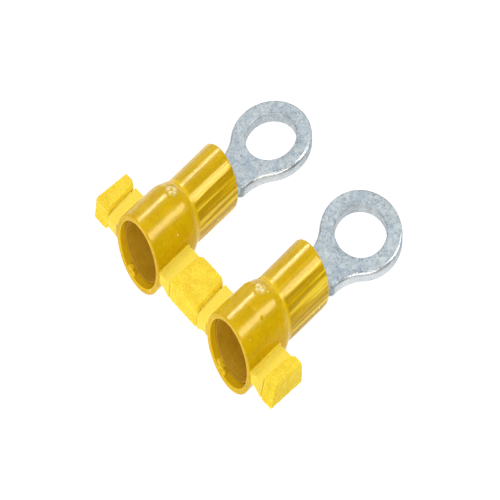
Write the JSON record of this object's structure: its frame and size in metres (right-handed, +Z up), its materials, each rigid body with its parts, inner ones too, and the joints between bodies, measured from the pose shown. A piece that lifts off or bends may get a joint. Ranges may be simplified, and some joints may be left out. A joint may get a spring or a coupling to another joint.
{
  "type": "insulated ring terminals in strip form",
  "caption": "Ring-tongue crimp terminals with funnel-mouthed insulating sleeves, held side by side in a moulded strip with a link block between them and cut blocks at the ends.",
  "frame": {"origin": "under the middle of the object's box, on the surface that the sleeves' mouths rest on", "axes": "+X along the strip from the left terminal to the right one, +Y along the sleeves from the mouths to the rings, +Z up, square to the right-hand ring"},
  "size_m": [0.0334, 0.0292, 0.008],
  "materials": {
    "insulator_vinyl": "glossy, slightly translucent yellow vinyl with fine lengthwise flow lines",
    "link_vinyl": "matte grained yellow vinyl",
    "tin_plate": "dull mottled tin plate on copper sheet",
    "grip_brass": "dull brass sheet"
  },
  "bodies": {
    "root": {"insulator_left": "insulator_vinyl", "grip_sleeve_left": "grip_brass", "ring_terminal_left": "tin_plate", "insulator_right": "insulator_vinyl", "grip_sleeve_right": "grip_brass", "ring_terminal_right": "tin_plate", "link_block_middle": "link_vinyl", "end_block_left": "link_vinyl", "end_block_right": "link_vinyl"}
  },
  "joints": []
}
